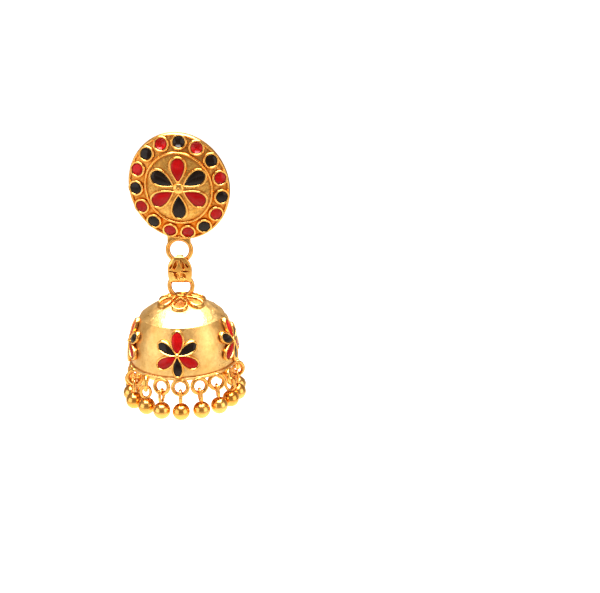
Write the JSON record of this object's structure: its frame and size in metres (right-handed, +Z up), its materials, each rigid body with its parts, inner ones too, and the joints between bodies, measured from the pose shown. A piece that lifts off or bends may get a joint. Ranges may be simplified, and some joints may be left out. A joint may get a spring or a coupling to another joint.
{
  "type": "jhumka earring",
  "caption": "Domed bell drop earring: oval flower stud on an ear post, hook link, enamelled flowers round the bell and ball drops on rings under its rim.",
  "frame": {"origin": "on the ear post, where the middle of the ear lobe sits, behind the flat back of the stud", "axes": "+Z up, the earring hanging down -Z; -Y the way the stud faces; +X to the viewer's right"},
  "size_m": [0.0223, 0.0225, 0.0487],
  "materials": {
    "gold": "polished gold plate",
    "satin_gold": "satin gold plate",
    "red_enamel": "glossy enamel",
    "black_enamel": "glossy enamel"
  },
  "bodies": {
    "stud": {"stud_plate": "gold", "ear_post": "gold", "stud_dot_01": "black_enamel", "stud_dot_02": "red_enamel", "stud_dot_03": "black_enamel", "stud_dot_04": "red_enamel", "stud_dot_05": "black_enamel", "stud_dot_06": "red_enamel", "stud_dot_07": "black_enamel", "stud_dot_08": "red_enamel", "stud_dot_09": "red_enamel", "stud_dot_10": "black_enamel", "stud_dot_11": "red_enamel", "stud_dot_12": "black_enamel", "stud_dot_13": "red_enamel", "stud_dot_14": "black_enamel", "stud_dot_15": "red_enamel", "stud_petal_1": "black_enamel", "stud_petal_2": "red_enamel", "stud_petal_3": "black_enamel", "stud_petal_4": "red_enamel", "stud_petal_5": "black_enamel", "stud_petal_6": "red_enamel"},
    "link": {"hook_link": "gold"},
    "bell": {"bell": "satin_gold", "band_flower_left": "gold", "band_flower_front": "gold", "band_flower_right": "gold", "band_flower_back_right": "gold", "band_flower_back_left": "gold", "drop_01": "gold", "drop_02": "gold", "drop_03": "gold", "drop_04": "gold", "drop_05": "gold", "drop_06": "gold", "drop_07": "gold", "drop_08": "gold", "drop_09": "gold", "drop_10": "gold", "drop_11": "gold", "drop_12": "gold", "drop_13": "gold", "drop_14": "gold", "drop_15": "gold", "drop_16": "gold", "drop_17": "gold", "drop_18": "gold"}
  },
  "joints": [
    {"name": "link_swing", "type": "hinge", "parent": "stud", "child": "link", "pos_m": [0, -0.00285, -0.01546], "axis": [1, 0, 0], "range_deg": [-25, 45]},
    {"name": "bell_swing", "type": "hinge", "parent": "link", "child": "bell", "pos_m": [0, -0.00285, -0.02013], "axis": [0, 1, 0], "range_deg": [-35, 35]}
  ]
}
